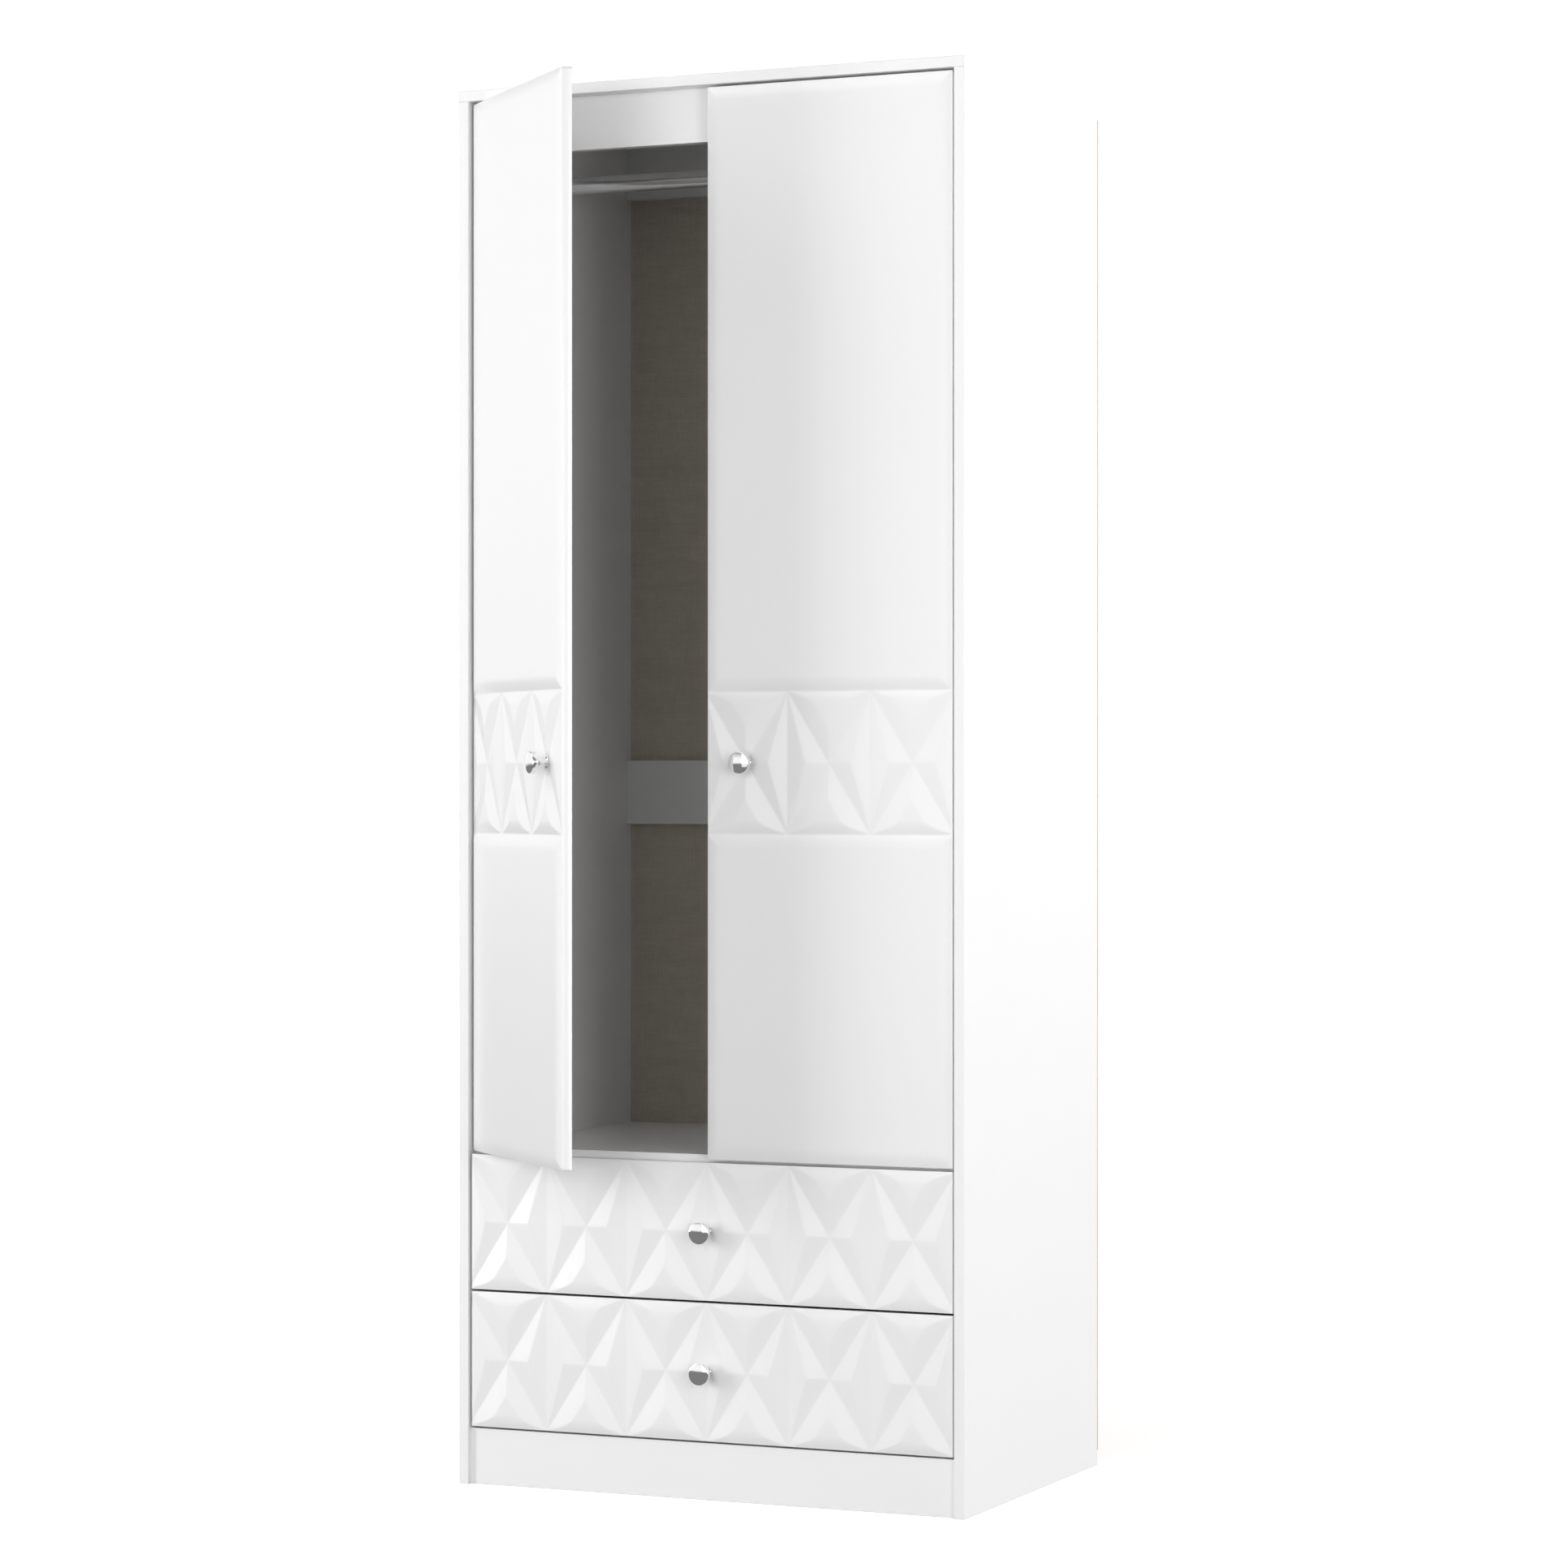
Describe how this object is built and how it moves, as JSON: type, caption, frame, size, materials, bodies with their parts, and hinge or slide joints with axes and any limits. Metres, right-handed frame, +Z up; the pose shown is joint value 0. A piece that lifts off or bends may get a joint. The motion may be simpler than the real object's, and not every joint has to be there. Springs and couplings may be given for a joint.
{
  "type": "wardrobe",
  "caption": "Tall white wardrobe with hinged doors over wide drawers, faceted milled fronts, small round knobs and a hanging rail inside.",
  "frame": {"origin": "on the floor, at the middle of the width, in the plane of the closed fronts, a few millimetres in front of the plinth", "axes": "+Z up, fronts face -Y, +X to the right as seen from the front"},
  "size_m": [0.768, 0.7642, 1.97],
  "materials": {
    "white_front": "semi-gloss white foil over milled fibreboard",
    "white_board": "satin white melamine-faced chipboard with white edging",
    "linen_back": "hardboard with a brown linen-print face inside, plain brown outside",
    "drawer_board": "white foil-wrapped drawer board",
    "drawer_hardboard": "white painted hardboard",
    "chrome_knob": "polished chrome plate",
    "chrome_tube": "chrome-plated steel",
    "nickel_hinge": "nickel-plated pressed steel",
    "zinc_screw": "bright zinc",
    "white_steel_runner": "white powder-coated steel",
    "white_roller": "white nylon"
  },
  "bodies": {
    "cabinet": {"back_mid_rail": "white_board", "back_panel": "linen_back", "back_top_rail": "white_board", "base_panel": "white_board", "carcass_screws": "zinc_screw", "divider_shelf": "white_board", "drawer_lower_channel_left": "white_steel_runner", "drawer_lower_channel_right": "white_steel_runner", "drawer_upper_channel_left": "white_steel_runner", "drawer_upper_channel_right": "white_steel_runner", "front_top_rail": "white_board", "hanging_rail": "chrome_tube", "hinge_arm_left_lower": "nickel_hinge", "hinge_arm_left_middle": "nickel_hinge", "hinge_arm_left_upper": "nickel_hinge", "hinge_arm_right_lower": "nickel_hinge", "hinge_arm_right_middle": "nickel_hinge", "hinge_arm_right_upper": "nickel_hinge", "hinge_plates_left": "nickel_hinge", "hinge_plates_right": "nickel_hinge", "plinth": "white_board", "rail_socket_left": "chrome_tube", "rail_socket_right": "chrome_tube", "side_panel_left": "white_board", "side_panel_right": "white_board", "top_panel": "white_board"},
    "door_left": {"door_left_hinge_cup_lower": "nickel_hinge", "door_left_hinge_cup_middle": "nickel_hinge", "door_left_hinge_cup_upper": "nickel_hinge", "door_left_knob": "chrome_knob", "door_left_knob_screw": "zinc_screw", "door_left_panel": "white_front"},
    "door_right": {"door_right_hinge_cup_lower": "nickel_hinge", "door_right_hinge_cup_middle": "nickel_hinge", "door_right_hinge_cup_upper": "nickel_hinge", "door_right_knob": "chrome_knob", "door_right_knob_screw": "zinc_screw", "door_right_panel": "white_front"},
    "drawer_lower": {"drawer_lower_back": "drawer_board", "drawer_lower_base": "drawer_hardboard", "drawer_lower_front": "white_front", "drawer_lower_knob": "chrome_knob", "drawer_lower_knob_screw": "zinc_screw", "drawer_lower_side_left": "drawer_board", "drawer_lower_side_right": "drawer_board", "drawer_lower_slide_left": "white_steel_runner", "drawer_lower_slide_right": "white_steel_runner"},
    "drawer_lower_front_rollers": {"drawer_lower_front_rollers": "white_roller"},
    "drawer_lower_rear_rollers": {"drawer_lower_rear_rollers": "white_roller"},
    "drawer_upper": {"drawer_upper_back": "drawer_board", "drawer_upper_base": "drawer_hardboard", "drawer_upper_front": "white_front", "drawer_upper_knob": "chrome_knob", "drawer_upper_knob_screw": "zinc_screw", "drawer_upper_side_left": "drawer_board", "drawer_upper_side_right": "drawer_board", "drawer_upper_slide_left": "white_steel_runner", "drawer_upper_slide_right": "white_steel_runner"},
    "drawer_upper_front_rollers": {"drawer_upper_front_rollers": "white_roller"},
    "drawer_upper_rear_rollers": {"drawer_upper_rear_rollers": "white_roller"}
  },
  "joints": [
    {"name": "door_left_hinge", "type": "hinge", "parent": "cabinet", "child": "door_left", "pos_m": [-0.3555, 0.011, 1.2115], "axis": [0, 0, -1], "range_deg": [-43, 52]},
    {"name": "door_right_hinge", "type": "hinge", "parent": "cabinet", "child": "door_right", "pos_m": [0.3555, 0.011, 1.2115], "axis": [0, 0, 1], "range_deg": [0, 95]},
    {"name": "drawer_upper_slide", "type": "slide", "parent": "cabinet", "child": "drawer_upper", "axis": [0, -1, 0], "range_m": [0, 0.34]},
    {"name": "drawer_lower_slide", "type": "slide", "parent": "cabinet", "child": "drawer_lower", "axis": [0, -1, 0], "range_m": [0, 0.34]},
    {"name": "drawer_upper_front_roller_turn", "type": "hinge", "parent": "cabinet", "child": "drawer_upper_front_rollers", "pos_m": [0, 0.036, 0.3115], "axis": [1, 0, 0], "range_deg": [0, 1780]},
    {"name": "drawer_upper_rear_roller_turn", "type": "hinge", "parent": "drawer_upper", "child": "drawer_upper_rear_rollers", "pos_m": [0, 0.452, 0.3093], "axis": [1, 0, 0], "range_deg": [0, 1780]},
    {"name": "drawer_lower_front_roller_turn", "type": "hinge", "parent": "cabinet", "child": "drawer_lower_front_rollers", "pos_m": [0, 0.036, 0.1175], "axis": [1, 0, 0], "range_deg": [0, 1780]},
    {"name": "drawer_lower_rear_roller_turn", "type": "hinge", "parent": "drawer_lower", "child": "drawer_lower_rear_rollers", "pos_m": [0, 0.452, 0.1153], "axis": [1, 0, 0], "range_deg": [0, 1780]}
  ],
  "couplings": [
    {"joint": "drawer_upper_front_roller_turn", "follows": "drawer_upper_slide", "rad_per_m": 90.909},
    {"joint": "drawer_upper_rear_roller_turn", "follows": "drawer_upper_slide", "rad_per_m": 90.909},
    {"joint": "drawer_lower_front_roller_turn", "follows": "drawer_lower_slide", "rad_per_m": 90.909},
    {"joint": "drawer_lower_rear_roller_turn", "follows": "drawer_lower_slide", "rad_per_m": 90.909}
  ]
}
